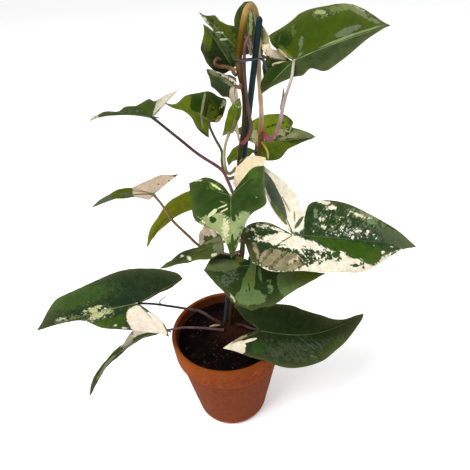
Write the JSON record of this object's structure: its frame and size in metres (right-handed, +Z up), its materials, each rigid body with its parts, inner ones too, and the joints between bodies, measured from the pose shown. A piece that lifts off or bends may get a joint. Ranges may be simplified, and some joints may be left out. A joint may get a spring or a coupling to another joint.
{
  "type": "potted syngonium",
  "caption": "Climbing arrowhead vine with variegated leaves on long stalks, wire-tied to a thin stake and rooted in the soil of a tapered terracotta pot.",
  "frame": {"origin": "middle of the pot's flat foot", "axes": "+Z up along the pot's axis, +X towards the largest leaf, +Y towards the back, where the stake stands"},
  "size_m": [0.3901, 0.1516, 0.4582],
  "materials": {
    "terracotta": "unglazed fired clay, matt, mottled",
    "potting_soil": "damp dark peat with bark crumbs",
    "stake_coating": "dark green-blue plastic coating",
    "tie_plastic": "green plastic-coated wire",
    "woody_stem": "smooth green-brown bark",
    "leaf_green": "green leaf with a soft wax gloss",
    "leaf_variegated": "green and cream marbled leaf with a soft wax gloss",
    "leaf_cream": "cream leaf with a soft wax gloss",
    "aerial_root": "young yellow-green root skin"
  },
  "bodies": {
    "root": {"pot": "terracotta", "soil": "potting_soil", "stake": "stake_coating", "twist_tie": "tie_plastic", "main_vine": "woody_stem", "side_stem": "woody_stem", "curled_sheath": "woody_stem", "aerial_root": "aerial_root", "leaf_top_right": "leaf_green", "leaf_big_right": "leaf_variegated", "leaf_heart": "leaf_variegated", "leaf_below_heart": "leaf_variegated", "leaf_low_right": "leaf_green", "leaf_low_left": "leaf_green", "leaf_hanging_left": "leaf_variegated", "leaf_high_left": "leaf_green", "leaf_mid_left": "leaf_variegated", "leaf_backlit_left": "leaf_green", "leaf_small_left": "leaf_green", "leaf_cream_left": "leaf_variegated", "leaf_bright_right": "leaf_green", "leaf_upper_left": "leaf_green", "leaf_young": "leaf_green", "leaf_curled": "leaf_variegated", "leaf_cream_top": "leaf_variegated", "leaf_top_left": "leaf_green", "leaf_top_back": "leaf_green", "leaf_narrow_left": "leaf_green", "leaf_cream_middle": "leaf_cream", "leaf_behind_stake": "leaf_green"}
  },
  "joints": []
}
